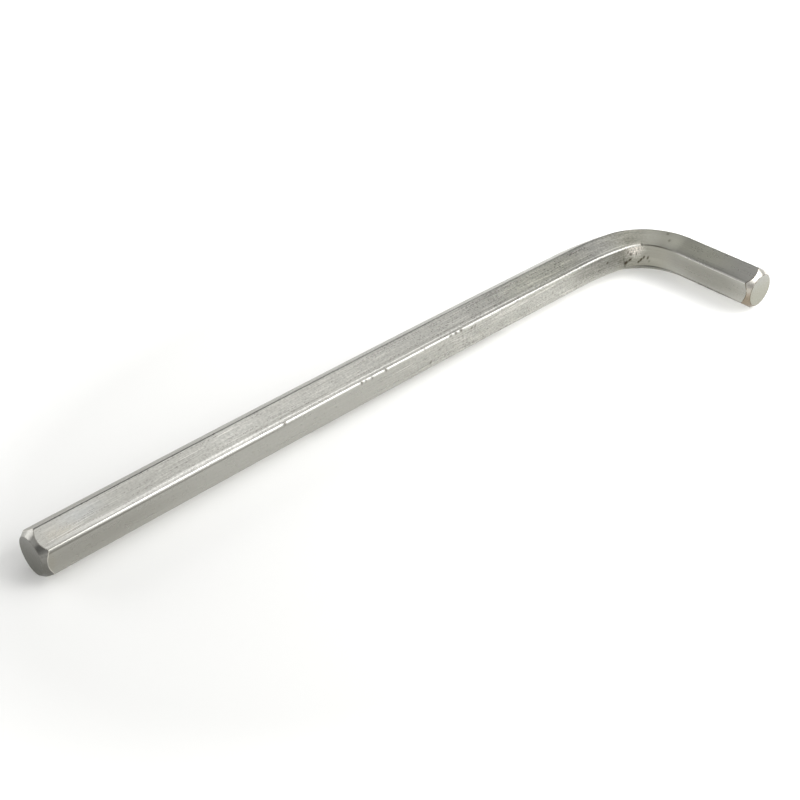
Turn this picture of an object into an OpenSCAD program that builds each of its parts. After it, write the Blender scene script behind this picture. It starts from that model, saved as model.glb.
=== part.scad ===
// L-shaped hexagon bar key, lying on its lower long corners.
// The long arm runs along X, the bend is at its +X end and the short arm points to -Y.
// Z = 0 is the surface the key lies on, and X = Y = 0 is the middle of its outline.

/* [Bar] */
// Width of the hexagon bar across its flats
across_flats = 8; // [6:0.5:17]
// How far each rounded long corner stops short of a sharp one
corner_drop = 0.085; // [0.03:0.005:0.2]
// Turn of the hexagon about the bar's own axis, away from square with the bend
section_turn = 4.8; // [-10:0.2:10]

/* [Arms] */
// Length of the long arm, from the outer flat of the bend to the end face
long_arm = 154; // [100:1:260]
// Length of the short arm, from the outer flat of the bend to the end face
short_arm = 36.3; // [32:0.1:80]

/* [Bend] */
// Radius on the inside of the bend
bend_inner_r = 8.8; // [6:0.1:12]
// Radius, at the bar's axis, of the shallow curve by which the long arm runs into the bend
lead_in_r = 64; // [40:1:100]
// Part of the quarter turn that the shallow curve takes
lead_in_angle = 11.3; // [2:0.1:20]

/* [Ends] */
// Length of the turned chamfer, measured along a corner of the bar
chamfer_run = 1.4; // [0.6:0.1:2.4]
// Slope of the chamfer, measured from the bar's axis
chamfer_angle = 38.3; // [20:0.1:50]

/* [Hidden] */
$fn = 96;
steel_grey = [0.70, 0.70, 0.67];

sides = 6;
side_angle = 360 / sides;
quarter_turn = 90;
half_flats = across_flats / 2;

// Reach of a sharp and of a rounded corner from the axis, and the angle from a flat's middle
// to where the rounding starts
sharp_reach = half_flats / cos(side_angle / 2);
corner_reach = sharp_reach - corner_drop;
flat_angle = acos(half_flats / corner_reach);
rounding_angle = side_angle / 2 - flat_angle;

// Reach of the turned hexagon from the axis, sideways and upward
side_reach = corner_reach * cos(flat_angle - abs(section_turn));
top_reach = corner_reach * cos(max(0, abs(section_turn) - rounding_angle));

// The axes of the two arms cross at a point, from which each arm is measured
long_axis_l = long_arm - half_flats;
short_axis_l = short_arm - half_flats;

// The bend at the bar's axis, and where each arm's straight part ends
bend_r = bend_inner_r + half_flats;
bend_angle = quarter_turn - lead_in_angle;
centre_shift = lead_in_r - bend_r;
long_tangent = bend_r + centre_shift * sin(lead_in_angle);
short_tangent = lead_in_r - centre_shift * cos(lead_in_angle);

// End face left by the chamfer, and how far the turning tool runs past the bar
end_face_r = corner_reach - chamfer_run * tan(chamfer_angle);
tool_over = 1;

// Section of the drawn bar, with the outside of the bend to +X
module bar_section() {
    rotate(side_angle / 2 - section_turn)
        intersection() {
            circle(r = sharp_reach, $fn = sides);
            circle(r = corner_reach);
        }
}

// What a turning tool takes off an end: the end face is at z = 0 and the bar runs up
module chamfer_waste() {
    tool_run = chamfer_run + tool_over;
    rotate_extrude()
        polygon([
            [end_face_r, 0],
            [end_face_r + tool_run * tan(chamfer_angle), tool_run],
            [corner_reach + tool_over, tool_run],
            [corner_reach + tool_over, -tool_over],
            [end_face_r, -tool_over]
        ]);
}

// Straight part of an arm, with its chamfered end at z = 0
module straight_bar(straight_l) {
    difference() {
        linear_extrude(height = straight_l)
            bar_section();
        chamfer_waste();
    }
}

module curved_bar(radius, angle) {
    rotate_extrude(angle = angle)
        translate([radius, 0])
            bar_section();
}

// The two curves start from the face where they meet, one to each side of it
module bend() {
    translate([-long_tangent, -lead_in_r, 0])
        rotate([0, 0, bend_angle]) {
            curved_bar(lead_in_r, lead_in_angle);
            translate([centre_shift, 0, 0])
                curved_bar(bend_r, -bend_angle);
        }
}

module hex_key() {
    color(steel_grey)
        translate([(long_axis_l - side_reach) / 2, (short_axis_l - side_reach) / 2, top_reach]) {
            translate([-long_axis_l, 0, 0])
                rotate([90, 0, 90])
                    straight_bar(long_axis_l - long_tangent);
            bend();
            translate([0, -short_axis_l, 0])
                mirror([0, 1, 0])
                    rotate([90, 0, 0])
                        straight_bar(short_axis_l - short_tangent);
        }
}

hex_key();
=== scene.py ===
import math

import bmesh
import bpy
from mathutils import Matrix, Vector


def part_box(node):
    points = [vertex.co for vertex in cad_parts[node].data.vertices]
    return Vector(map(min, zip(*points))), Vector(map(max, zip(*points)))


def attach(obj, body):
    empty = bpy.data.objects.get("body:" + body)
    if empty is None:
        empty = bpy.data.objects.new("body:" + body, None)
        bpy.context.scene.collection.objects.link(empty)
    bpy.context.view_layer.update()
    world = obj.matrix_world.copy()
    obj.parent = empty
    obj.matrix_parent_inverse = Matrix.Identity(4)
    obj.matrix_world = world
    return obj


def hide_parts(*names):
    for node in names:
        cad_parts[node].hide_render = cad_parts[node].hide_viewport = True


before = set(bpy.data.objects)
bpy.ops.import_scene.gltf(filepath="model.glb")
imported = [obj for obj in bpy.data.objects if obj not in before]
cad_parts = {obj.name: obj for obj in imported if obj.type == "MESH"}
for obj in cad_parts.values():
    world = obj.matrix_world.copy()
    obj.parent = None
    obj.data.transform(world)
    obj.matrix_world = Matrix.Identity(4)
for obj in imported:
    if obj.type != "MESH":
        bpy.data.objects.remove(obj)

mm = 0.001
scene = bpy.context.scene
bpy.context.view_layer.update()   # the CAD box, before anything is dressed
barLow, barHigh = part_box("hex_key")
print("frame loaded, hex key box", [round(v / mm, 2) for v in barHigh - barLow])


# the bar: sizes in mm, angles in degrees, distances along the bar start at the long arm's end face
hexKey = {
    "acrossFlats": 8.0,
    "cornerRadius": 0.5,
    "cadCornerDrop": 0.085,   # how far the CAD model's corners stop short of sharp ones
    "sectionTurn": 4.8,       # the hexagon sits turned about its own axis
    "bendInnerRadius": 8.8,
    "leadInRadius": 64.0,     # at the axis, the shallow curve that runs into the bend
    "leadInAngle": 11.3,
    "chamferRun": 1.4,        # turned chamfer, along a corner
    "chamferAngle": 38.3,     # from the axis
    "endEdgeBreak": 0.07,     # rubbed edges round the chamfer and the end face
    "bow": 0.43,              # the long arm isn't dead straight
    "shoulderDip": 0.015,     # the drawing die left the corners a little proud of the flats
    "innerFlatSwell": 0.061,  # the bend makes the inner flat taller, as a share of its height
    "innerCornerSink": 0.45,  # and draws its two corners outwards
    "sinkFullFrom": 2.3,      # height off the axis from which a corner gets all of that
    "outerCornerPull": 0.26,  # while the outer corners come inwards
    "endFaceInset": 0.25,
    "crispFrom": 12.0,        # faces that meet at a larger angle keep a crisp edge
    "chamferFacing": 0.3,     # how squarely a face looks outwards to belong to a chamfer
    "endFacing": 0.9,         # and to an end face
    "seamAngle": -150.5,      # where the distance round the bar jumps, an outer corner underneath
    "seamSides": 2.5,         # and how many sides that is from the middle of the inner flat
    "cornerSegments": 6,
    "flatCuts": 17,
    "endZone": 1.8,           # stretch at each end that the chamfer lies in
    "ringSteps": [(100.0, 0.5), (45.0, 0.25), (0.0, 0.7)],   # (down to this distance, ring spacing)
    "bendRingStep": 0.25,
    "shortArmRingStep": 0.5,
}

# the same numbers that the CAD model drives its hexagon with
halfFlats = hexKey["acrossFlats"] / 2
halfSide = math.radians(30)    # half of the angle that one side takes
sharpReach = halfFlats / math.cos(halfSide)
cadCornerReach = sharpReach - hexKey["cadCornerDrop"]
chamferSlope = math.tan(math.radians(hexKey["chamferAngle"]))
endFaceRadius = cadCornerReach - hexKey["chamferRun"] * chamferSlope

# where the two arms and the two curves of the bend lie, in mm in the row frame
flatAngle = math.acos(halfFlats / cadCornerReach)
sideReach = cadCornerReach * math.cos(flatAngle - math.radians(hexKey["sectionTurn"]))
longEndX = barLow.x / mm
shortEndY = barLow.y / mm
axisX = barHigh.x / mm - sideReach     # of the short arm
axisY = barHigh.y / mm - sideReach     # of the long arm
axisZ = barHigh.z / mm / 2
bendRadius = hexKey["bendInnerRadius"] + halfFlats
leadIn = math.radians(hexKey["leadInAngle"])
centreShift = hexKey["leadInRadius"] - bendRadius
leadInStart = axisX - (bendRadius + centreShift * math.sin(leadIn))
leadInCentre = Vector((leadInStart, axisY - hexKey["leadInRadius"], axisZ))
bendCentre = leadInCentre + centreShift * Vector((math.sin(leadIn), math.cos(leadIn), 0))
straightLength = leadInStart - longEndX
bendFrom = straightLength + hexKey["leadInRadius"] * leadIn
bendTo = bendFrom + bendRadius * (math.pi / 2 - leadIn)
barLength = bendTo + bendCentre.y - shortEndY


def placeOnBar(co):
    # distance along the bar, reach towards the inside of the bend, height, and the inward direction
    height = co.z - axisZ
    if co.x <= leadInCentre.x:
        return co.x - longEndX, axisY - co.y, height, Vector((0, -1, 0))
    if co.y <= bendCentre.y:
        return bendTo + bendCentre.y - co.y, axisX - co.x, height, Vector((-1, 0, 0))
    turn = math.atan2(co.x - leadInCentre.x, co.y - leadInCentre.y)
    centre, radius, start, turned = leadInCentre, hexKey["leadInRadius"], straightLength, 0
    if turn > leadIn:
        turn = math.atan2(co.x - bendCentre.x, co.y - bendCentre.y)
        centre, radius, start, turned = bendCentre, bendRadius, bendFrom, leadIn
    inward = Vector((-math.sin(turn), -math.cos(turn), 0))
    reach = radius - math.hypot(co.x - centre.x, co.y - centre.y)
    return start + radius * (turn - turned), reach, height, inward


def newVerts(result):
    return [g for g in result["geom"] if isinstance(g, bmesh.types.BMVert)]


def newEdges(result, key="geom"):
    return [g for g in result[key] if isinstance(g, bmesh.types.BMEdge)]


def drawOutline(bm):
    # hexagon with rounded corners, standing where the long arm meets the bend
    stand = Matrix(((0, 0, -1, leadInStart), (-1, 0, 0, axisY), (0, 1, 0, axisZ), (0, 0, 0, 1)))
    turned = stand @ Matrix.Rotation(math.radians(hexKey["sectionTurn"]), 4, "Z")
    bmesh.ops.create_circle(bm, cap_ends=True, segments=6, radius=sharpReach, matrix=turned)
    bmesh.ops.bevel(bm, geom=bm.verts[:], offset=hexKey["cornerRadius"] * math.tan(halfSide),
                    offset_type="OFFSET", segments=hexKey["cornerSegments"], profile=0.5,
                    affect="VERTICES", material=-1)
    bmesh.ops.delete(bm, geom=bm.faces[:], context="FACES_ONLY")
    flats = [e for e in bm.edges if e.calc_length() > halfFlats / 2]
    bmesh.ops.subdivide_edges(bm, edges=flats, cuts=hexKey["flatCuts"])
    flatStep = max(e.calc_length() for e in bm.edges)
    for v in bm.verts:
        lengths = sorted(e.calc_length() for e in v.link_edges)
        if lengths[0] < 0.7 * flatStep < lengths[1]:   # where a flat meets its rounded corner
            spoke = v.co - Vector((leadInStart, axisY, axisZ))
            v.co -= spoke.normalized() * hexKey["shoulderDip"]

    # distance round the section, 0 at the middle of the inner flat, kept on the points so that
    # every later ring has it too
    aroundLayer = bm.verts.layers.float.new("aroundBar")
    bm.verts.layers.float.new("grimeAndShade")
    seam = math.radians(hexKey["sectionTurn"] + hexKey["seamAngle"])

    def angleFromSeam(v):
        return (math.atan2(v.co.z - axisZ, axisY - v.co.y) - seam) % (2 * math.pi)

    loop = sorted(bm.verts, key=angleFromSeam)
    places, total = [], 0
    for here, after in zip(loop, loop[1:] + loop[:1]):
        places.append(total)
        total += (after.co - here.co).length
    for v, place in zip(loop, places):
        v[aroundLayer] = place - total * hexKey["seamSides"] / 6
    return bm.edges[:], total


def extrudeRing(bm, ring, length, direction, spacing):
    # one long extrusion, then cut across into rings of the spacing
    result = bmesh.ops.extrude_edge_only(bm, edges=ring)
    farVerts = newVerts(result)
    bmesh.ops.translate(bm, verts=farVerts, vec=direction * length)
    farRing = newEdges(result)
    far = set(farVerts)    # the list keeps its order, so that each run gives the same mesh
    lengthwise = [e for v in farVerts for e in v.link_edges if e.other_vert(v) not in far]
    cuts = math.ceil(length / spacing) - 1
    bmesh.ops.subdivide_edges(bm, edges=lengthwise, cuts=cuts, use_grid_fill=True)
    return farRing


def spinRing(bm, ring, centre, angle, length):
    steps = math.ceil(length / hexKey["bendRingStep"])
    result = bmesh.ops.spin(bm, geom=ring, cent=centre, axis=(0, 0, -1), angle=angle,
                            steps=steps, use_merge=False, use_duplicate=False)
    return newEdges(result, "geom_last")


def turnEnd(bm, ring, endPoint, outward):
    # the lathe's chamfer: its near edge follows the cone across the flats, then the round end face
    result = bmesh.ops.extrude_edge_only(bm, edges=ring)
    for v in newVerts(result):
        spoke = v.co - endPoint
        spoke -= spoke.dot(outward) * outward
        v.co = endPoint + spoke - outward * (spoke.length - endFaceRadius) / chamferSlope
    chamferEdge = newEdges(result)
    result = bmesh.ops.extrude_edge_only(bm, edges=chamferEdge)
    for v in newVerts(result):
        spoke = v.co - endPoint
        spoke -= spoke.dot(outward) * outward
        v.co = endPoint + spoke.normalized() * endFaceRadius
    faceEdge = newEdges(result)
    filled = bmesh.ops.contextual_create(bm, geom=faceEdge)
    return chamferEdge + faceEdge, filled["faces"]


def swellBend(bm):
    # the steel is squeezed on the inside of the bend and stretched on the outside
    for v in bm.verts:
        along, reach, height, inward = placeOnBar(v.co)
        if not straightLength < along < bendTo:
            continue
        if along < bendFrom:
            angle = (along - straightLength) / hexKey["leadInRadius"]
        else:
            angle = leadIn + (along - bendFrom) / bendRadius
        bump = math.sin(2 * angle) ** 2
        share = reach / halfFlats
        if share > 0:
            cornerShare = min(1, abs(height) / hexKey["sinkFullFrom"])
            v.co -= inward * hexKey["innerCornerSink"] * bump * share * cornerShare
            v.co.z += height * hexKey["innerFlatSwell"] * bump * share
        else:
            v.co -= inward * hexKey["outerCornerPull"] * bump * share


def bowArm(bm):
    # most in the middle of the arm, none at its end or at the bend
    for v in bm.verts:
        share = (v.co.x - longEndX) / straightLength
        if 0 < share < 1:
            v.co.y += hexKey["bow"] * 4 * share * (1 - share)


# knocks and pits, in mm: (distance along, distance round from the middle of the inner flat,
# half length, half width, turn in degrees, depth, grime from 0 to 1)
wear = {
    "ridgeNicks": [
        (48.8, 2.25, 0.36, 0.50, 0, 0.14, 0.85),
        (66.8, 2.20, 0.34, 0.50, 0, 0.14, 0.85),
        (67.8, 2.15, 0.30, 0.40, 0, 0.10, 0.6),
        (69.3, 2.12, 0.30, 0.45, 0, 0.12, 0.7),
        (72.8, 2.22, 0.36, 0.50, 0, 0.14, 0.85),
        (82.7, 2.25, 0.26, 0.40, 0, 0.10, 0.6),
        (89.6, 2.20, 0.50, 0.40, 0, 0.09, 0.6),
        (91.0, 2.22, 0.50, 0.45, 0, 0.11, 0.8),
        (92.4, 2.18, 0.45, 0.45, 0, 0.13, 0.85),
        (146.3, 2.45, 0.45, 0.40, 0, 0.10, 0.5),
    ],
    "innerFlatPits": [
        (95.2, 1.60, 0.42, 0.28, 40, 0.06, 0.8),
        (96.1, 1.60, 0.48, 0.26, 50, 0.06, 0.8),
        (83.9, -1.13, 0.60, 0.32, 35, 0.06, 0.6),
        (86.4, 0.60, 0.60, 0.26, 20, 0.04, 0.4),
        (87.5, 1.00, 0.60, 0.26, 15, 0.04, 0.4),
        (135.6, 0.48, 0.38, 0.34, 0, 0.06, 1.0),
        (133.0, -0.60, 0.40, 0.30, 30, 0.04, 0.5),
        (141.6, -1.06, 0.90, 0.55, 15, 0.14, 1.3),
        (142.9, -0.55, 0.85, 0.36, 20, 0.09, 1.2),
        (143.2, 0.65, 0.70, 0.34, -15, 0.09, 0.8),
        (142.2, 1.20, 0.40, 0.34, 20, 0.08, 0.8),
        (144.9, 0.50, 0.45, 0.30, 50, 0.07, 0.6),
        (145.8, -1.25, 0.45, 0.36, 45, 0.09, 1.2),
        (146.5, -0.75, 0.80, 0.34, 45, 0.09, 1.4),
        (147.3, -0.20, 0.50, 0.32, 45, 0.08, 1.2),
        (148.5, -0.30, 0.50, 0.32, 60, 0.08, 1.2),
        (149.0, -1.10, 0.35, 0.30, 30, 0.05, 0.6),
        (139.4, -0.30, 0.50, 0.35, 20, 0.05, 0.5),
    ],
    "upperFlatPits": [
        (152.5, 6.15, 0.40, 0.35, 0, 0.05, 0.6),
        (153.4, 4.50, 0.35, 0.45, 0, 0.05, 0.6),
    ],
    # the bender's jaw left a line across the inner flat:
    # (along, around) from and to, half width, depth, grime
    "jawLine": [(140.5, 0.4, 141.4, -2.2, 0.3, 0.05, 0.6)],
    # die grooves beside the front corner: (distance round, depth, grime and painted shade, from and to
    # along the bar)
    "dieGrooves": [
        # painted shade: the grime share of this groove paints a dark line below the front corner
        (1.80, 0.030, 0.45, -20.0, 55.0),
        (1.80, 0.020, 0.16, 98.0, 148.0),
        (2.77, 0.040, 0.16, 14.0, 144.0),
        (3.22, 0.020, 0.15, -20.0, 28.0),
        (3.67, 0.030, 0.22, 30.0, 138.0),
        (3.67, 0.012, 0.06, -20.0, 40.0),
        (2.30, 0.020, 0.90, 144.5, 157.5),   # painted shade: a dark line past the crown of the bend
    ],
    "grooveFade": 12.0,
    "markReach": 1.5,    # no knock or pit reaches further than this
    "rubbedEdgeFrom": 0.3,   # the long end's face edge isn't rubbed bright, its chamfer edge is
}


def pressWear(bm):
    # every mark is pressed in along the normals of the fresh bar, and leaves dirt behind, or painted
    # shade along some die grooves
    aroundLayer = bm.verts.layers.float["aroundBar"]
    grimeAndShadeLayer = bm.verts.layers.float["grimeAndShade"]
    bm.normal_update()
    places = [(v, placeOnBar(v.co)[0], v[aroundLayer], v.normal.copy()) for v in bm.verts]
    rowWidth = halfFlats / hexKey["flatCuts"]
    for v, a, r, normal in places:
        for around, depth, grimeAndShade, start, stop in wear["dieGrooves"]:
            if abs(r - around) < rowWidth / 2 and start < a < stop:
                fade = min(1, (stop - a) / wear["grooveFade"], (a - start) / wear["grooveFade"])
                v.co -= normal * depth * fade
                v[grimeAndShadeLayer] = grimeAndShade * fade
    for marks in (wear["ridgeNicks"], wear["innerFlatPits"], wear["upperFlatPits"]):
        for along, around, halfLength, halfWidth, turn, depth, grimeAndShade in marks:
            c, s = math.cos(math.radians(turn)), math.sin(math.radians(turn))
            for v, a, r, normal in places:
                if max(abs(a - along), abs(r - around)) > wear["markReach"]:
                    continue
                lengthwise = (a - along) * c + (r - around) * s
                crosswise = (r - around) * c - (a - along) * s
                d = math.hypot(lengthwise / halfLength, crosswise / halfWidth)
                if d < 1:
                    fall = (1 - d * d) ** 2
                    v.co -= normal * depth * fall
                    v[grimeAndShadeLayer] = max(v[grimeAndShadeLayer], min(1, grimeAndShade * (1 - d * d)))
    for fromAlong, fromAround, toAlong, toAround, halfWidth, depth, grimeAndShade in wear["jawLine"]:
        for v, a, r, normal in places:
            if toAround < r < fromAround:
                share = (fromAround - r) / (fromAround - toAround)
                d = abs(a - fromAlong - share * (toAlong - fromAlong)) / halfWidth
                if d < 1:
                    v.co -= normal * depth * (1 - d * d) ** 2
                    v[grimeAndShadeLayer] = max(v[grimeAndShadeLayer], grimeAndShade * (1 - d * d))


# the order of the materials on the bar
barFinishes = ["bar", "longFace", "shortFace", "longChamfer", "shortChamfer", "rubbedEdge", "stainedEdge"]


def makeHexKey():
    bm = bmesh.new()
    outline, perimeter = drawOutline(bm)
    ring = spinRing(bm, outline, leadInCentre, leadIn, bendFrom - straightLength)
    ring = spinRing(bm, ring, bendCentre, math.pi / 2 - leadIn, bendTo - bendFrom)
    shortLength = barLength - bendTo - hexKey["endZone"]
    shortRing = extrudeRing(bm, ring, shortLength, Vector((0, -1, 0)), hexKey["shortArmRingStep"])
    longRing, at = outline, straightLength
    for stop, spacing in hexKey["ringSteps"]:
        stop = max(stop, hexKey["endZone"])
        longRing = extrudeRing(bm, longRing, at - stop, Vector((-1, 0, 0)), spacing)
        at = stop
    longEnd = Vector((longEndX, axisY, axisZ))
    shortEnd = Vector((axisX, shortEndY, axisZ))
    longEdges, longFace = turnEnd(bm, longRing, longEnd, Vector((-1, 0, 0)))
    shortEdges, shortFace = turnEnd(bm, shortRing, shortEnd, Vector((0, -1, 0)))
    bmesh.ops.inset_region(bm, faces=longFace + shortFace, thickness=hexKey["endFaceInset"],
                           use_even_offset=True)
    rubbed = {}
    for name, edges in (("long", longEdges), ("short", shortEdges)):
        result = bmesh.ops.bevel(bm, geom=edges, offset=hexKey["endEdgeBreak"], offset_type="OFFSET",
                                 segments=2, profile=0.5, affect="EDGES", material=-1)
        rubbed[name] = set(result["faces"])
    bmesh.ops.recalc_face_normals(bm, faces=bm.faces[:])

    # each face gets its finish, and its place on the bar as a UV map
    aroundLayer = bm.verts.layers.float["aroundBar"]
    uvLayer = bm.loops.layers.uv.new("barUv")   # u along the bar, v round it, both in mm
    for face in bm.faces:
        face.smooth = True
        middle = face.calc_center_median()
        along = placeOnBar(middle)[0]
        outward = face.normal
        finish = "bar"
        if along < hexKey["endZone"] and outward.x < -hexKey["chamferFacing"]:
            finish = "longFace" if outward.x < -hexKey["endFacing"] else "longChamfer"
        if along > barLength - hexKey["endZone"] and outward.y < -hexKey["chamferFacing"]:
            finish = "shortFace" if outward.y < -hexKey["endFacing"] else "shortChamfer"
        if face in rubbed["long"] and along > wear["rubbedEdgeFrom"]:
            finish = "rubbedEdge"
        if face in rubbed["short"]:
            finish = "stainedEdge"
        face.material_index = barFinishes.index(finish)
        arounds = [loop.vert[aroundLayer] for loop in face.loops]
        wraps = max(arounds) - min(arounds) > perimeter / 2
        for loop, here in zip(face.loops, arounds):
            if wraps and here < 0:
                here += perimeter
            loop[uvLayer].uv = (placeOnBar(loop.vert.co)[0], here)

    pressWear(bm)
    for edge in bm.edges:
        oneFinish = len({face.material_index for face in edge.link_faces}) == 1
        edge.smooth = oneFinish and edge.calc_face_angle(0) < math.radians(hexKey["crispFrom"])
    swellBend(bm)
    bowArm(bm)
    bmesh.ops.scale(bm, verts=bm.verts[:], vec=(mm, mm, mm))
    mesh = bpy.data.meshes.new("hexKeyBar")
    bm.to_mesh(mesh)
    bm.free()
    piece = bpy.data.objects.new("hexKeyBar", mesh)
    scene.collection.objects.link(piece)
    print("bar made,", len(mesh.polygons), "faces")
    return piece


def linearColour(text):
    # sRGB hex to the linear values that Blender works in
    parts = [int(text[i:i + 2], 16) / 255 for i in (1, 3, 5)]
    linear = [p / 12.92 if p <= 0.04045 else ((p + 0.055) / 1.055) ** 2.4 for p in parts]
    return (*linear, 1)


def addNode(tree, kind, settings=None, values=None, links=None):
    node = tree.nodes.new(kind)
    for name, value in (settings or {}).items():
        setattr(node, name, value)
    for name, value in (values or {}).items():
        node.inputs[name].default_value = value
    for name, source in (links or {}).items():
        tree.links.new(source, node.inputs[name])
    return node


def newMaterial(name):
    material = bpy.data.materials.new(name)
    material.use_nodes = True
    material.node_tree.nodes.clear()
    return material, material.node_tree


# colours in sRGB hex, sizes in mm
platedSteel = {
    "colour": "#ACABA5",
    "bentColour": "#96958B",      # the plating is duller where the bend strained it
    "bentRoughness": 0.15,        # added there
    "cornerRubAndHighlightColour": "#CFCEC8",    # the front corner is rubbed bright, and painted lighter as a painted highlight
    "cornerHalfWidth": 0.26,
    "cornerFade": 0.7,            # full brightness from this share of the half width inwards
    "stripShadeColour": "#8C8A80",     # painted shade: the outer flats are painted darker, standing for the shadowed sheet they mirror
    "scratchAndHighlightColour": "#F2F1EC",
    "grimeAndShadeColour": "#4A4338",
    "roughness": 0.30,
    # name: (length along the bar, width round it, detail, share of the tone, share of the roughness)
    # real die lines and plating grain are a few hundredths of a millimetre across, too fine to
    # show here, so they are drawn as coarse as they need to show
    "patterns": {
        "drawLines": (14.0, 0.26, 2, 0.34, 0.10),
        "broadLines": (60.0, 0.90, 1, 0.16, 0.06),
        "mottle": (3.2, 1.8, 2, 0.20, 0.08),
        "grain": (0.55, 0.34, 1, 0.62, 0.06),
    },
    "patternBreak": 0.6,
    "bumpDepth": 0.004,
    "bumpStrength": 0.6,
    # where the finish changes: (X along the bar or Y round it, from, to, value before and after)
    "fades": {
        "upperFlat": ("Y", 2.1, 2.6, 0.0, 1.0),       # how strong the patterns are there
        "innerFlat": ("X", 60.0, 100.0, 0.2, 1.3),
        "shortArm": ("X", 142.0, 150.0, 1.0, 0.15),
        "longEnd": ("X", 5.0, 30.0, 0.55, 1.0),
        "bendStart": ("X", 134.0, 143.0, 0.0, 1.0),   # the strained stretch
        "bendStop": ("X", 160.0, 150.0, 0.0, 1.0),
        "outerFlats": ("Y", 7.1, 7.5, 0.0, 1.0),
        "rubAndHighlightFrom": ("X", -5.0, 25.0, 0.0, 1.0),    # where the front corner is rubbed bright and carries the painted highlight
        "rubAndHighlightTo": ("X", 147.0, 144.5, 0.0, 1.0),
        "rubAndHighlightAgain": ("X", 154.5, 160.0, 0.0, 1.0),
    },
    # hair-thin rub marks: (length, width, turn in degrees, tone)
    "hairlines": [(11.0, 0.20, 0.9, 0.24), (7.0, 0.24, -1.1, 0.18), (22.0, 0.20, 0.2, -0.14)],
    "hairlineCut": (0.60, 0.74),    # the part of the noise that makes a line
    "speckleScale": 1.9,            # specks to a mm, in the broken-up patches
    "speckleCut": (0.40, 0.60),
    "patchFade": (1.35, 0.3),       # shares of a patch's half size, where it starts and is full
    # name: (along, around, half length, half width, colour, amount, how broken up)
    "patches": {
        "crownScuff": (144.2, 1.45, 3.4, 1.5, "#E2DCD4", 0.9, 0.75),
        # painted light: innerBend and upperBend paint the flats in the bend lighter
        "innerBend": (151.0, 0.5, 5.0, 2.2, "#A5A399", 0.50, 0.0),
        "upperBend": (149.4, 4.6, 2.6, 2.8, "#BBBAB1", 0.35, 0.0),
        "innerShade": (138.6, 0.9, 2.8, 1.6, "#87857B", 0.5, 0.5),
        "upperShade": (143.4, 3.9, 2.2, 1.6, "#7E7D74", 0.85, 0.5),
        # painted shade on the inner flat before the bend
        "innerFlatShade": (132.0, 0.4, 9.5, 2.6, "#87867F", 0.8, 0.0),
        "endLens": (1.2, 0.2, 1.1, 1.8, "#A9A598", 0.55, 0.0),
        "warmMottle": (5.0, 4.6, 3.0, 1.6, "#B4AB99", 0.35, 0.6),
        "paleMottle": (8.5, 5.4, 5.5, 1.3, "#B9BCBD", 0.4, 0.3),
        "paleCloud": (40.0, 5.6, 6.0, 1.4, "#C8C8C3", 0.25, 0.5),
        # painted shade: endUpper and endStrip paint the upper flat and the strip darker near the long end
        "endUpper": (22.0, 4.8, 12.0, 2.4, "#9C9B95", 0.5, 0.0),
        "endStrip": (8.0, 9.1, 25.0, 1.6, "#6F6A5C", 0.75, 0.0),
        # painted light: upperPale and shortUpper paint the upper flats lighter
        "upperPale": (118.0, 4.7, 13.0, 2.8, "#C4C4B6", 0.55, 0.0),
        "shortUpper": (161.0, 4.7, 9.0, 2.8, "#CACAB9", 0.6, 0.0),
        # painted shade: shortLower darkens the short arm's inner flat, endFront the inner flat near the
        # long end, endCorner the front corner there
        "shortLower": (166.0, 0.2, 12.0, 2.8, "#7C7B74", 0.8, 0.0),
        "endFront": (6.0, 0.0, 22.0, 2.4, "#8E8C84", 0.5, 0.0),
        "endCorner": (8.0, 2.28, 18.0, 0.5, "#85847E", 0.9, 0.0),
        # painted highlight: a pale band beside the front corner
        "cornerBand": (26.0, 2.95, 30.0, 0.45, "#D0CFCA", 0.75, 0.25),
        "bendRim": (149.0, -2.60, 7.0, 0.50, "#262420", 1.0, 0.0),     # painted shade: the bend's lower edge painted dark
        # painted shade: a dark, broken line along the short arm's lower edge
        "shortRim": (164.5, -2.32, 11.0, 0.34, "#4A463D", 0.75, 0.5),
    },
    # pale scratches, and one painted highlight line beside the front corner: (along, around) from and to,
    # half width, amount
    "scratchesAndHighlightLine": [
        (73.0, 0.40, 79.8, 0.62, 0.09, 0.5),
        (75.5, 0.05, 81.0, 0.30, 0.07, 0.3),
        (89.0, 0.95, 94.9, 0.20, 0.09, 0.5),
        (92.0, 0.90, 99.0, 0.65, 0.07, 0.35),
        (101.0, 1.20, 109.5, 1.75, 0.09, 0.45),
        (104.0, 0.70, 112.0, 1.20, 0.08, 0.35),
        (1.2, 3.55, 9.4, 3.75, 0.09, 0.6),
        (2.6, 3.20, 14.0, 3.30, 0.08, 0.55),
        (6.0, 4.10, 12.0, 4.25, 0.08, 0.4),
        (27.0, 5.40, 38.0, 5.55, 0.08, 0.25),
        (2.0, 3.08, 150.0, 3.08, 0.20, 0.5),    # painted highlight: a pale line beside the front corner
    ],
}


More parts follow.
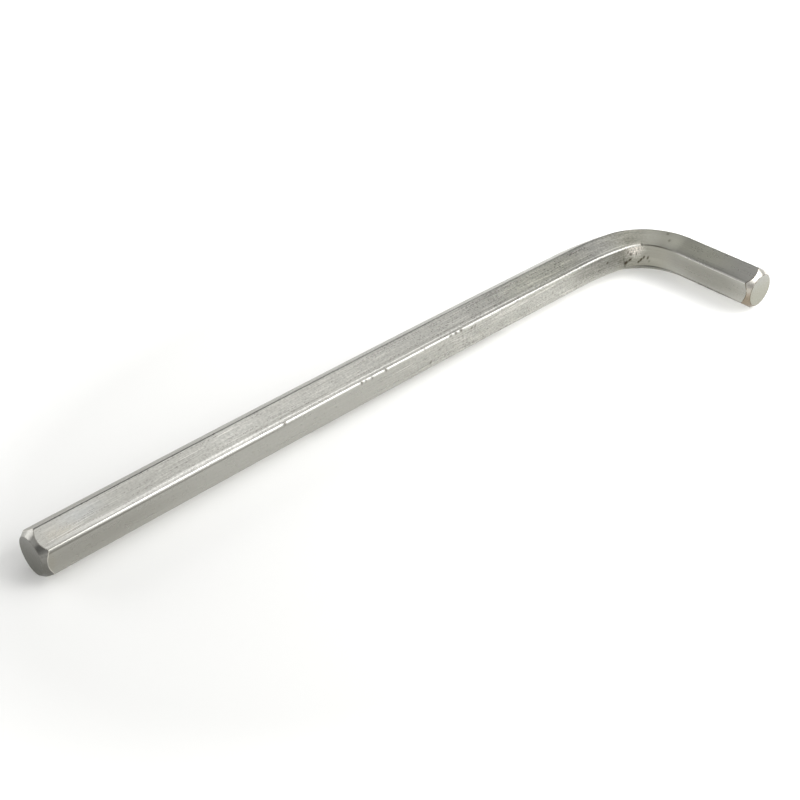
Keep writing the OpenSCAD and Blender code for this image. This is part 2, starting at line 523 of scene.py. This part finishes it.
def nickelPlatedDrawnSteel():
    # dull nickel over cold-drawn alloy steel: a soft grey gleam that is drawn out along the bar,
    # with fine lines from the die, a bright rubbed corner with a painted highlight, dirt in the knocks,
    # and painted light and shade in patches
    material, tree = newMaterial("nickelPlatedDrawnSteel")
    uv = addNode(tree, "ShaderNodeUVMap", {"uv_map": "barUv"})
    place = addNode(tree, "ShaderNodeSeparateXYZ", links={"Vector": uv.outputs["UV"]})
    fades = {}
    for name, (axis, start, stop, before, after) in platedSteel["fades"].items():
        fade = addNode(tree, "ShaderNodeMapRange", {"interpolation_type": "SMOOTHSTEP"}, {
            "From Min": start, "From Max": stop, "To Min": before, "To Max": after},
            {"Value": place.outputs[axis]})
        fades[name] = fade.outputs["Result"]

    # how strongly the patterns show: full on the upper flat, less on the inner one and at the ends
    onArm = addNode(tree, "ShaderNodeMath", {"operation": "MAXIMUM"}, {}, {
        0: fades["upperFlat"], 1: fades["innerFlat"]})
    onEnds = addNode(tree, "ShaderNodeMath", {"operation": "MULTIPLY"}, {}, {
        0: fades["longEnd"], 1: fades["shortArm"]})
    strength = addNode(tree, "ShaderNodeMath", {"operation": "MULTIPLY"}, {}, {
        0: onArm.outputs[0], 1: onEnds.outputs[0]})

    tone, rough, height = None, None, None
    for name, (length, width, detail, toneShare, roughShare) in platedSteel["patterns"].items():
        mapping = addNode(tree, "ShaderNodeMapping", values={
            "Scale": (1 / length, 1 / width, 1)}, links={"Vector": uv.outputs["UV"]})
        noise = addNode(tree, "ShaderNodeTexNoise", {"noise_dimensions": "2D"}, {
            "Scale": 1.0, "Detail": detail, "Roughness": platedSteel["patternBreak"]},
            {"Vector": mapping.outputs["Vector"]})
        centred = addNode(tree, "ShaderNodeMath", {"operation": "SUBTRACT"}, {1: 0.5},
                          {0: noise.outputs["Fac"]})
        toneStep = addNode(tree, "ShaderNodeMath", {"operation": "MULTIPLY_ADD"},
                           {1: toneShare, 2: 0.0}, {0: centred.outputs[0]})
        roughStep = addNode(tree, "ShaderNodeMath", {"operation": "MULTIPLY_ADD"},
                            {1: roughShare, 2: platedSteel["roughness"]}, {0: centred.outputs[0]})
        if tone is not None:
            tree.links.new(tone.outputs[0], toneStep.inputs[2])
            tree.links.new(rough.outputs[0], roughStep.inputs[2])
        tone, rough = toneStep, roughStep
        if name == "drawLines":
            height = noise
    lineFrom, lineFull = platedSteel["hairlineCut"]
    for length, width, turn, amount in platedSteel["hairlines"]:
        # each set is moved along, so that no two sets fall together
        mapping = addNode(tree, "ShaderNodeMapping", values={
            "Rotation": (0, 0, math.radians(turn)), "Location": (length, width * 7, 0)},
            links={"Vector": uv.outputs["UV"]})
        squeezed = addNode(tree, "ShaderNodeVectorMath", {"operation": "MULTIPLY"}, {
            1: (1 / length, 1 / width, 1)}, {0: mapping.outputs["Vector"]})
        noise = addNode(tree, "ShaderNodeTexNoise", {"noise_dimensions": "2D"}, {
            "Scale": 1.0, "Detail": 1.0}, {"Vector": squeezed.outputs["Vector"]})
        lines = addNode(tree, "ShaderNodeMapRange", {"interpolation_type": "SMOOTHSTEP"}, {
            "From Min": lineFrom, "From Max": lineFull, "To Max": amount},
            {"Value": noise.outputs["Fac"]})
        tone = addNode(tree, "ShaderNodeMath", {"operation": "ADD"}, {}, {
            0: tone.outputs[0], 1: lines.outputs["Result"]})
    tone = addNode(tree, "ShaderNodeMath", {"operation": "MULTIPLY_ADD"}, {2: 1.0}, {
        0: tone.outputs[0], 1: strength.outputs[0]})

    # the strained stretch of the bend, dull and a little darker
    strain = addNode(tree, "ShaderNodeMath", {"operation": "MULTIPLY"}, {},
                     {0: fades["bendStart"], 1: fades["bendStop"]})
    colour = addNode(tree, "ShaderNodeMixRGB", {}, {
        "Color1": linearColour(platedSteel["colour"]), "Color2": linearColour(platedSteel["bentColour"])},
        {"Fac": strain.outputs[0]})
    rougher = addNode(tree, "ShaderNodeMath", {"operation": "MULTIPLY_ADD"},
                      {1: platedSteel["bentRoughness"]}, {0: strain.outputs[0], 2: rough.outputs[0]})

    # painted shade on the flats on the outside of the bend
    colour = addNode(tree, "ShaderNodeMixRGB", {}, {"Color2": linearColour(platedSteel["stripShadeColour"])}, {
        "Fac": fades["outerFlats"], "Color1": colour.outputs["Color"]})

    # scuffs and mottles, and patches of painted shade and painted light, some of them broken up by a
    # speckle
    speckleMap = addNode(tree, "ShaderNodeTexNoise", {"noise_dimensions": "2D"}, {
        "Scale": platedSteel["speckleScale"], "Detail": 2.0, "Roughness": 0.7},
        {"Vector": uv.outputs["UV"]})
    speckFrom, speckFull = platedSteel["speckleCut"]
    speckle = addNode(tree, "ShaderNodeMapRange", {"interpolation_type": "SMOOTHSTEP"}, {
        "From Min": speckFrom, "From Max": speckFull}, {"Value": speckleMap.outputs["Fac"]})
    patchEdge, patchFull = platedSteel["patchFade"]
    for patch in platedSteel["patches"].values():
        along, around, halfLength, halfWidth, patchColour, amount, broken = patch
        moved = addNode(tree, "ShaderNodeVectorMath", {"operation": "SUBTRACT"}, {
            1: (along, around, 0)}, {0: uv.outputs["UV"]})
        squeezed = addNode(tree, "ShaderNodeVectorMath", {"operation": "MULTIPLY"}, {
            1: (1 / halfLength, 1 / halfWidth, 1)}, {0: moved.outputs["Vector"]})
        away = addNode(tree, "ShaderNodeVectorMath", {"operation": "LENGTH"}, {},
                       {0: squeezed.outputs["Vector"]})
        inside = addNode(tree, "ShaderNodeMapRange", {"interpolation_type": "SMOOTHSTEP"}, {
            "From Min": patchEdge, "From Max": patchFull, "To Max": amount},
            {"Value": away.outputs["Value"]})
        holes = addNode(tree, "ShaderNodeMapRange", {}, {"To Min": 1.0 - broken}, {
            "Value": speckle.outputs["Result"]})
        share = addNode(tree, "ShaderNodeMath", {"operation": "MULTIPLY"}, {}, {
            0: inside.outputs["Result"], 1: holes.outputs["Result"]})
        colour = addNode(tree, "ShaderNodeMixRGB", {}, {"Color2": linearColour(patchColour)}, {
            "Fac": share.outputs[0], "Color1": colour.outputs["Color"]})

    # pale scratches and a painted highlight line, each a thin line between two places on the bar
    scratchAndHighlight = None
    for fromU, fromV, toU, toV, halfWidth, amount in platedSteel["scratchesAndHighlightLine"]:
        slope = (toV - fromV) / (toU - fromU)
        line = addNode(tree, "ShaderNodeMath", {"operation": "MULTIPLY_ADD"},
                       {1: -slope, 2: slope * fromU - fromV}, {0: place.outputs["X"]})
        off = addNode(tree, "ShaderNodeMath", {"operation": "ADD"}, {},
                      {0: place.outputs["Y"], 1: line.outputs[0]})
        aside = addNode(tree, "ShaderNodeMath", {"operation": "ABSOLUTE"}, {}, {0: off.outputs[0]})
        near = addNode(tree, "ShaderNodeMapRange", {"interpolation_type": "SMOOTHSTEP"}, {
            "From Min": halfWidth, "From Max": 0.0, "To Max": amount}, {"Value": aside.outputs[0]})
        middle = addNode(tree, "ShaderNodeMath", {"operation": "SUBTRACT"}, {1: (fromU + toU) / 2},
                         {0: place.outputs["X"]})
        fromMiddle = addNode(tree, "ShaderNodeMath", {"operation": "ABSOLUTE"}, {},
                             {0: middle.outputs[0]})
        inside = addNode(tree, "ShaderNodeMapRange", {"interpolation_type": "SMOOTHSTEP"}, {
            "From Min": (toU - fromU) / 2, "From Max": (toU - fromU) / 4},
            {"Value": fromMiddle.outputs[0]})
        both = addNode(tree, "ShaderNodeMath", {"operation": "MULTIPLY"}, {},
                       {0: near.outputs["Result"], 1: inside.outputs["Result"]})
        if scratchAndHighlight is None:
            scratchAndHighlight = both
        else:
            scratchAndHighlight = addNode(tree, "ShaderNodeMath", {"operation": "MAXIMUM"}, {},
                              {0: scratchAndHighlight.outputs[0], 1: both.outputs[0]})
    colour = addNode(tree, "ShaderNodeMixRGB", {}, {
        "Color2": linearColour(platedSteel["scratchAndHighlightColour"])},
        {"Fac": scratchAndHighlight.outputs[0], "Color1": colour.outputs["Color"]})

    # the front corner, half a side round from the middle of the inner flat: rubbed bright, and painted
    # lighter as a highlight
    cornerRadius = hexKey["cornerRadius"]
    side = sharpReach - 2 * cornerRadius * math.tan(halfSide) + (cornerRadius * math.pi / 3)
    fromCorner = addNode(tree, "ShaderNodeMath", {"operation": "SUBTRACT"}, {1: side / 2},
                         {0: place.outputs["Y"]})
    cornerWay = addNode(tree, "ShaderNodeMath", {"operation": "ABSOLUTE"}, {},
                        {0: fromCorner.outputs[0]})
    halfWidth = platedSteel["cornerHalfWidth"]
    corner = addNode(tree, "ShaderNodeMapRange", {"interpolation_type": "SMOOTHSTEP"}, {
        "From Min": halfWidth, "From Max": halfWidth * platedSteel["cornerFade"]},
        {"Value": cornerWay.outputs[0]})
    rubAndHighlightPart = addNode(tree, "ShaderNodeMath", {"operation": "ADD"}, {}, {
        0: fades["rubAndHighlightTo"], 1: fades["rubAndHighlightAgain"]})
    rubAndHighlightArm = addNode(tree, "ShaderNodeMath", {"operation": "MULTIPLY"}, {}, {
        0: rubAndHighlightPart.outputs[0], 1: fades["rubAndHighlightFrom"]})
    rubbed = addNode(tree, "ShaderNodeMath", {"operation": "MULTIPLY"}, {}, {
        0: rubAndHighlightArm.outputs[0], 1: corner.outputs["Result"]})
    colour = addNode(tree, "ShaderNodeMixRGB", {}, {"Color2": linearColour(platedSteel["cornerRubAndHighlightColour"])},
                     {"Fac": rubbed.outputs[0], "Color1": colour.outputs["Color"]})
    toned = addNode(tree, "ShaderNodeVectorMath", {"operation": "SCALE"}, {},
                    {0: colour.outputs["Color"], "Scale": tone.outputs[0]})
    # dirt in the knocks, pits and jaw line, and painted shade along some die grooves
    grimeAndShade = addNode(tree, "ShaderNodeAttribute", {"attribute_name": "grimeAndShade"})
    dirty = addNode(tree, "ShaderNodeMixRGB", {}, {"Color2": linearColour(platedSteel["grimeAndShadeColour"])},
                    {"Fac": grimeAndShade.outputs["Fac"], "Color1": toned.outputs["Vector"]})
    bump = addNode(tree, "ShaderNodeBump", {}, {
        "Strength": platedSteel["bumpStrength"], "Distance": platedSteel["bumpDepth"] * mm},
        {"Height": height.outputs["Fac"]})
    shader = addNode(tree, "ShaderNodeBsdfPrincipled", {}, {"Metallic": 1.0}, {
        "Base Color": dirty.outputs["Color"], "Roughness": rougher.outputs[0],
        "Normal": bump.outputs["Normal"]})
    addNode(tree, "ShaderNodeOutputMaterial", links={"Surface": shader.outputs["BSDF"]})
    return material


turnedEnds = {
    # painted light and shade: each pair runs from a lighter colour at the top of the bar to a darker one
    # down by the sheet
    # painted shade: the long end's face and chamfer are painted darker than the short end's
    "longFace": ("#82817C", "#6E6D65"),
    "shortFace": ("#999893", "#959489"),
    "longChamfer": ("#989792", "#73726D"),
    "shortChamfer": ("#F6F3EA", "#83796A"),   # painted highlight at the top, brighter than the face; stained lower down
    "fromHeight": 3.8,       # mm
    "toHeight": 8.4,
    "roughness": 0.32,
    # real tool marks are about 0.1 mm apart, too fine to show, and are drawn coarser
    "ringSpacing": 1.0,      # mm
    "ringWander": 1.5,
    "ringDepth": 0.006,      # mm
    "ringStrength": 0.5,
    "speckle": 0.35,         # mm
    "speckleCut": (0.25, 0.75),
    "speckleTone": (0.82, 1.12),
}


def turnedSteelEnd(name, colours, centre):
    # alloy steel faced and chamfered on a lathe, then plated: a flatter, paler gleam than the
    # bar's, with faint rings round the middle and a fine sparkle
    material, tree = newMaterial(name)
    place = addNode(tree, "ShaderNodeTexCoord")
    aside = addNode(tree, "ShaderNodeMapping", values={
        "Location": tuple(-c for c in centre)}, links={"Vector": place.outputs["Object"]})
    # at scale 1 the wave node turns by 20 radians in each unit of length
    rings = addNode(tree, "ShaderNodeTexWave", {"wave_type": "RINGS", "rings_direction": "SPHERICAL"}, {
        "Scale": math.tau / 20 / (turnedEnds["ringSpacing"] * mm),
        "Distortion": turnedEnds["ringWander"], "Detail": 2.0}, {"Vector": aside.outputs["Vector"]})
    speckle = addNode(tree, "ShaderNodeTexNoise", {}, {
        "Scale": 1 / (turnedEnds["speckle"] * mm), "Detail": 3.0, "Roughness": 0.7},
        {"Vector": place.outputs["Object"]})
    speckFrom, speckFull = turnedEnds["speckleCut"]
    darkest, palest = turnedEnds["speckleTone"]
    tone = addNode(tree, "ShaderNodeMapRange", {}, {
        "From Min": speckFrom, "From Max": speckFull, "To Min": darkest, "To Max": palest},
        {"Value": speckle.outputs["Fac"]})
    split = addNode(tree, "ShaderNodeSeparateXYZ", links={"Vector": place.outputs["Object"]})
    # painted light and shade: lighter towards the top of the bar, darker down by the sheet
    upward = addNode(tree, "ShaderNodeMapRange", {"interpolation_type": "SMOOTHSTEP"}, {
        "From Min": turnedEnds["fromHeight"] * mm, "From Max": turnedEnds["toHeight"] * mm},
        {"Value": split.outputs["Z"]})
    cast = addNode(tree, "ShaderNodeMixRGB", {}, {
        "Color1": linearColour(colours[1]), "Color2": linearColour(colours[0])},
        {"Fac": upward.outputs["Result"]})
    colour = addNode(tree, "ShaderNodeVectorMath", {"operation": "SCALE"}, {}, {
        0: cast.outputs["Color"], "Scale": tone.outputs["Result"]})
    bump = addNode(tree, "ShaderNodeBump", {}, {
        "Strength": turnedEnds["ringStrength"], "Distance": turnedEnds["ringDepth"] * mm},
        {"Height": rings.outputs["Fac"]})
    shader = addNode(tree, "ShaderNodeBsdfPrincipled", {}, {
        "Metallic": 1.0, "Roughness": turnedEnds["roughness"]}, {
        "Base Color": colour.outputs["Vector"], "Normal": bump.outputs["Normal"]})
    addNode(tree, "ShaderNodeOutputMaterial", links={"Surface": shader.outputs["BSDF"]})
    return material


endEdges = {
    "rubbedColour": "#C4C1B8",
    "stainedColour": "#5E5443",
    "roughness": 0.35,
    "breakUp": 0.8,           # mm between the worn and the fresh stretches
    "breakCut": (0.50, 0.70),
}


def wornSteelEdge(name, colourText, otherText):
    # plated steel rubbed by pockets and screws, or stained: a bright or dark hair line round an
    # end, with stretches that stayed as the bar is
    material, tree = newMaterial(name)
    place = addNode(tree, "ShaderNodeTexCoord")
    patches = addNode(tree, "ShaderNodeTexNoise", {}, {
        "Scale": 1 / (endEdges["breakUp"] * mm), "Detail": 2.0}, {"Vector": place.outputs["Object"]})
    wornUpTo, freshFrom = endEdges["breakCut"]
    split = addNode(tree, "ShaderNodeMapRange", {"interpolation_type": "SMOOTHSTEP"}, {
        "From Min": wornUpTo, "From Max": freshFrom}, {"Value": patches.outputs["Fac"]})
    colour = addNode(tree, "ShaderNodeMixRGB", {}, {
        "Color1": linearColour(colourText), "Color2": linearColour(otherText)},
        {"Fac": split.outputs["Result"]})
    shader = addNode(tree, "ShaderNodeBsdfPrincipled", {}, {
        "Metallic": 1.0, "Roughness": endEdges["roughness"]}, {"Base Color": colour.outputs["Color"]})
    addNode(tree, "ShaderNodeOutputMaterial", links={"Surface": shader.outputs["BSDF"]})
    return material


bar = makeHexKey()
longEndAt = (longEndX * mm, axisY * mm, axisZ * mm)
shortEndAt = (axisX * mm, shortEndY * mm, axisZ * mm)
for material in (    # in the order of barFinishes
    nickelPlatedDrawnSteel(),
    turnedSteelEnd("turnedSteelLongFace", turnedEnds["longFace"], longEndAt),
    turnedSteelEnd("turnedSteelShortFace", turnedEnds["shortFace"], shortEndAt),
    turnedSteelEnd("turnedSteelLongChamfer", turnedEnds["longChamfer"], longEndAt),
    turnedSteelEnd("turnedSteelShortChamfer", turnedEnds["shortChamfer"], shortEndAt),
    wornSteelEdge("rubbedSteelEdge", endEdges["rubbedColour"], platedSteel["colour"]),
    wornSteelEdge("stainedSteelEdge", endEdges["stainedColour"], platedSteel["colour"]),
):
    bar.data.materials.append(material)
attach(bar, "root")
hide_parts("hex_key")
print("materials done")


# floor and light, sizes in metres
studio = {
    "floorColour": "#F4F4F2",
    "floorRoughness": 0.9,
    "floorSize": 6.0,
    "worldColour": "#FFFFFF",
    "worldStrength": 0.19,
    # name: (azimuth from the front towards +X, elevation, distance, width, height, radiance)
    "lamps": {
        "frontSoftbox": (25, 34, 1.0, 1.20, 0.56, 2.4),
        "overheadSoftbox": (98, 70, 1.0, 0.80, 0.74, 1.15),
        "sideSoftbox": (38, 50, 0.8, 0.34, 0.22, 5.0),
        "backSoftbox": (-150, 21, 1.0, 0.58, 0.46, 2.8),
        "leftSoftbox": (-105, 35, 1.0, 0.50, 0.50, 0.7),
    },
    # whitens the sheet round the bend: the bare metal doesn't mirror it, and it casts no shadow
    "sheetLamp": (72, 30, 0.26, 0.18, 0.18, 6.8),
    # the sheet runs out to plain white round the key: (half length, half width) in metres
    "whiteFrom": (0.083, 0.055),
    "whiteTo": (0.154, 0.108),
    "whiteGlow": 0.40,
    "farFrom": 0.35,       # metres, where the sheet starts to turn into the white backdrop
    "farTo": 0.90,
    "farGlow": 0.60,
    "backdropFrom": 0.30,  # height of the backdrop, as the sine of the elevation
    "backdropTo": 0.12,
}


def seenRays(tree):
    # 1 for what the camera sees, straight, mirrored or through glass
    rays = addNode(tree, "ShaderNodeLightPath")
    seen = addNode(tree, "ShaderNodeMath", {"operation": "ADD"}, {}, {
        0: rays.outputs["Is Camera Ray"], 1: rays.outputs["Is Glossy Ray"]})
    return addNode(tree, "ShaderNodeMath", {"operation": "MAXIMUM"}, {}, {
        0: seen.outputs[0], 1: rays.outputs["Is Transmission Ray"]})


def makeFloor():
    bm = bmesh.new()
    bmesh.ops.create_grid(bm, x_segments=1, y_segments=1, size=studio["floorSize"] / 2)
    mesh = bpy.data.meshes.new("floor")
    bm.to_mesh(mesh)
    bm.free()
    floor = bpy.data.objects.new("floor", mesh)
    scene.collection.objects.link(floor)
    material, tree = newMaterial("matWhitePaper")   # uncoated paper: even, with no gleam
    shader = addNode(tree, "ShaderNodeBsdfPrincipled", values={
        "Base Color": linearColour(studio["floorColour"]), "Roughness": studio["floorRoughness"]})
    place = addNode(tree, "ShaderNodeTexCoord")
    seen = seenRays(tree)

    # how far out a place is between the two ovals, 0 on the inner one and 1 on the outer one
    reaches = []
    for size in (studio["whiteFrom"], studio["whiteTo"]):
        scaled = addNode(tree, "ShaderNodeVectorMath", {"operation": "MULTIPLY"}, {
            1: (1 / size[0], 1 / size[1], 0)}, {0: place.outputs["Object"]})
        reaches.append(addNode(tree, "ShaderNodeVectorMath", {"operation": "LENGTH"}, {},
                               {0: scaled.outputs["Vector"]}))
    beyond = addNode(tree, "ShaderNodeMath", {"operation": "SUBTRACT"}, {1: 1.0},
                     {0: reaches[0].outputs["Value"]})
    short = addNode(tree, "ShaderNodeMath", {"operation": "SUBTRACT"}, {0: 1.0},
                    {1: reaches[1].outputs["Value"]})
    stretch = addNode(tree, "ShaderNodeMath", {"operation": "ADD"}, {},
                      {0: beyond.outputs[0], 1: short.outputs[0]})
    share = addNode(tree, "ShaderNodeMath", {"operation": "DIVIDE"}, {},
                    {0: beyond.outputs[0], 1: stretch.outputs[0]})
    glow = addNode(tree, "ShaderNodeMapRange", {"interpolation_type": "SMOOTHSTEP"}, {
        "To Max": studio["whiteGlow"]}, {"Value": share.outputs[0]})
    away = addNode(tree, "ShaderNodeVectorMath", {"operation": "LENGTH"}, {},
                   {0: place.outputs["Object"]})
    farGlow = addNode(tree, "ShaderNodeMapRange", {"interpolation_type": "SMOOTHSTEP"}, {
        "From Min": studio["farFrom"], "From Max": studio["farTo"], "To Max": studio["farGlow"]},
        {"Value": away.outputs["Value"]})
    glow = addNode(tree, "ShaderNodeMath", {"operation": "ADD"}, {}, {
        0: glow.outputs["Result"], 1: farGlow.outputs["Result"]})
    white = addNode(tree, "ShaderNodeMath", {"operation": "MULTIPLY"}, {}, {
        0: glow.outputs[0], 1: seen.outputs[0]})
    emission = addNode(tree, "ShaderNodeEmission", links={"Strength": white.outputs[0]})
    added = addNode(tree, "ShaderNodeAddShader", links={0: shader.outputs["BSDF"],
                                                        1: emission.outputs["Emission"]})
    addNode(tree, "ShaderNodeOutputMaterial", links={"Surface": added.outputs["Shader"]})
    mesh.materials.append(material)


def makeLights():
    # broad softboxes round the key, each turned to look at it
    lamps = {**studio["lamps"], "sheetLamp": studio["sheetLamp"]}
    for name, (azimuth, elevation, distance, width, height, radiance) in lamps.items():
        a, e = math.radians(azimuth), math.radians(elevation)
        towards = Vector((math.sin(a) * math.cos(e), -math.cos(a) * math.cos(e), math.sin(e)))
        lamp = bpy.data.lights.new(name, "AREA")
        lamp.shape = "RECTANGLE"
        lamp.size, lamp.size_y = width, height
        lamp.energy = radiance * math.pi * width * height
        holder = bpy.data.objects.new(name, lamp)
        holder.location = towards * distance
        holder.rotation_mode = "QUATERNION"
        holder.rotation_quaternion = towards.to_track_quat("Z", "Y")
        holder.visible_glossy = name != "sheetLamp"
        lamp.use_shadow = name != "sheetLamp"
        scene.collection.objects.link(holder)

    # an even room, with the white backdrop low down for the rays that are seen
    world = bpy.data.worlds.new("studioRoom")
    world.use_nodes = True
    world.node_tree.nodes.clear()
    tree = world.node_tree
    seen = seenRays(tree)
    direction = addNode(tree, "ShaderNodeTexCoord")
    upward = addNode(tree, "ShaderNodeSeparateXYZ", links={"Vector": direction.outputs["Generated"]})
    low = addNode(tree, "ShaderNodeMapRange", {"interpolation_type": "SMOOTHSTEP"}, {
        "From Min": studio["backdropFrom"], "From Max": studio["backdropTo"]},
        {"Value": upward.outputs["Z"]})
    backdrop = addNode(tree, "ShaderNodeMath", {"operation": "MULTIPLY"}, {}, {
        0: low.outputs["Result"], 1: seen.outputs[0]})
    strength = addNode(tree, "ShaderNodeMapRange", {}, {"To Min": studio["worldStrength"]},
                       {"Value": backdrop.outputs[0]})
    glow = addNode(tree, "ShaderNodeBackground", {}, {"Color": linearColour(studio["worldColour"])},
                   {"Strength": strength.outputs["Result"]})
    addNode(tree, "ShaderNodeOutputWorld", links={"Surface": glow.outputs["Background"]})
    scene.world = world


# the photograph's viewpoint
viewpoint = {
    "azimuth": -42.957,     # turn about Z from looking along +Y
    "elevation": 35.664,
    "roll": -0.484,
    "lens": 60.48,
    "sensor": 36.0,
    "position": (-141.71, -140.52, 146.87),   # mm
    "clipStart": 0.01,      # metres
}


def makeCamera():
    data = bpy.data.cameras.new("camera")
    data.lens = viewpoint["lens"]
    data.sensor_width = viewpoint["sensor"]
    data.clip_start = viewpoint["clipStart"]
    camera = bpy.data.objects.new("camera", data)
    turn = Matrix.Rotation(math.radians(viewpoint["azimuth"]), 4, "Z")
    tilt = Matrix.Rotation(math.radians(90 - viewpoint["elevation"]), 4, "X")
    roll = Matrix.Rotation(math.radians(viewpoint["roll"]), 4, "Z")
    camera.matrix_world = Matrix.Translation(Vector(viewpoint["position"]) * mm) @ turn @ tilt @ roll
    scene.collection.objects.link(camera)
    scene.camera = camera


makeFloor()
makeLights()
makeCamera()
scene.view_settings.view_transform = "Standard"
print("floor, light and camera set")
